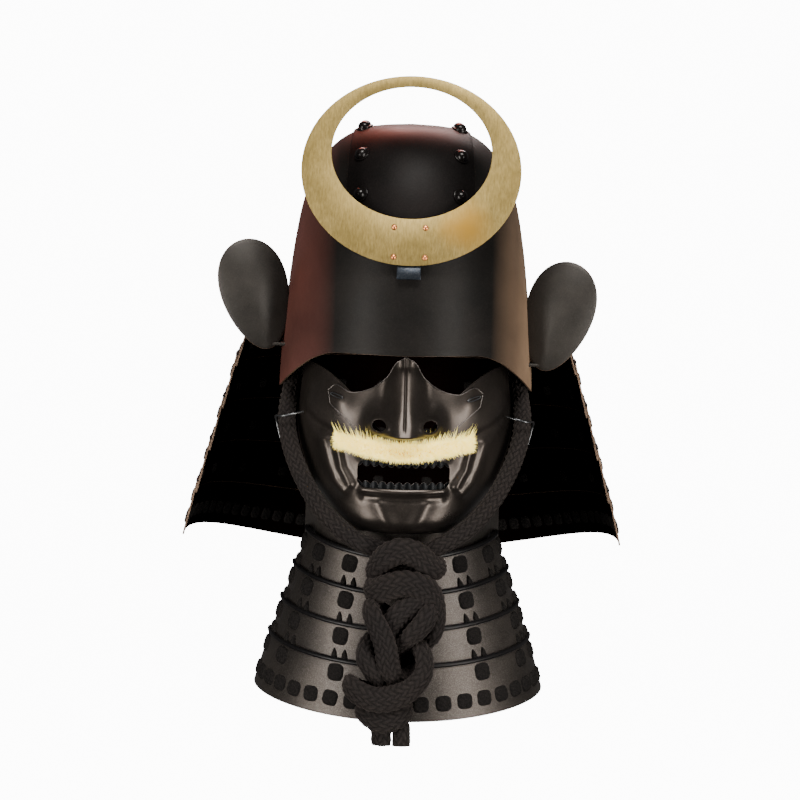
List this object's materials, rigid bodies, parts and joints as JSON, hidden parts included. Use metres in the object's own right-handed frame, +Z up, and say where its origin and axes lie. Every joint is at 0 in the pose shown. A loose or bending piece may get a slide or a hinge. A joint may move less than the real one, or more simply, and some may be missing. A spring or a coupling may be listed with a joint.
{
  "type": "samurai helmet with face mask and throat guard",
  "caption": "Black samurai helmet with brass ring crest, egg-shaped ears, flared neck guard, face mask, throat guard and knotted chin cord.",
  "frame": {"origin": "crown seat: the inside top of the bowl, where the top of the head meets it", "axes": "+Z up, the face looks along -Y, +X towards the wearer's left"},
  "size_m": [0.3958, 0.355, 0.5582],
  "materials": {
    "bowl_steel": "matte black with a fine speckle",
    "lame_steel": "satin dark gunmetal",
    "crest_brass": "brushed and slightly tarnished",
    "crest_copper": "polished copper",
    "holder_steel": "blued steel",
    "mask_steel": "burnished dark bronze grey",
    "wire_steel": "dark steel wire",
    "moustache_fur": "cream fur",
    "cord_braid": "black braided cord"
  },
  "bodies": {
    "root": {"front_plate": "bowl_steel", "back_plate": "bowl_steel", "top_strip": "bowl_steel", "bowl_rivet_right_1": "bowl_steel", "bowl_rivet_left_1": "bowl_steel", "bowl_rivet_right_2": "bowl_steel", "bowl_rivet_left_2": "bowl_steel", "bowl_rivet_right_3": "bowl_steel", "bowl_rivet_left_3": "bowl_steel", "bowl_rivet_right_4": "bowl_steel", "bowl_rivet_left_4": "bowl_steel", "bowl_rivet_right_5": "bowl_steel", "bowl_rivet_left_5": "bowl_steel", "bowl_rivet_right_6": "bowl_steel", "bowl_rivet_left_6": "bowl_steel", "bowl_rivet_right_7": "bowl_steel", "bowl_rivet_left_7": "bowl_steel", "bowl_rivet_right_8": "bowl_steel", "bowl_rivet_left_8": "bowl_steel", "crest_ring": "crest_brass", "crest_rivet_right_1": "crest_copper", "crest_rivet_left_1": "crest_copper", "crest_rivet_right_2": "crest_copper", "crest_rivet_left_2": "crest_copper", "crest_holder": "holder_steel", "ear_plate_left": "bowl_steel", "ear_plate_right": "bowl_steel", "neck_lame_1": "lame_steel", "neck_lame_2": "lame_steel", "neck_lame_3": "lame_steel", "neck_lame_4": "lame_steel", "neck_lame_5": "lame_steel", "mask_shell": "mask_steel", "nose_plate": "mask_steel", "nose_pin_right": "wire_steel", "nose_pin_left": "wire_steel", "moustache": "moustache_fur", "teeth_upper": "wire_steel", "teeth_lower": "wire_steel", "throat_lame_top": "lame_steel", "throat_lame_1": "lame_steel", "throat_lame_2": "lame_steel", "throat_lame_3": "lame_steel", "throat_lame_4": "lame_steel", "cord_knot": "cord_braid", "cord_right": "cord_braid", "cord_lug_right": "wire_steel", "cord_tail_right": "cord_braid", "cord_hook_right": "wire_steel", "cord_left": "cord_braid", "cord_lug_left": "wire_steel", "cord_tail_left": "cord_braid", "cord_hook_left": "wire_steel"}
  },
  "joints": []
}
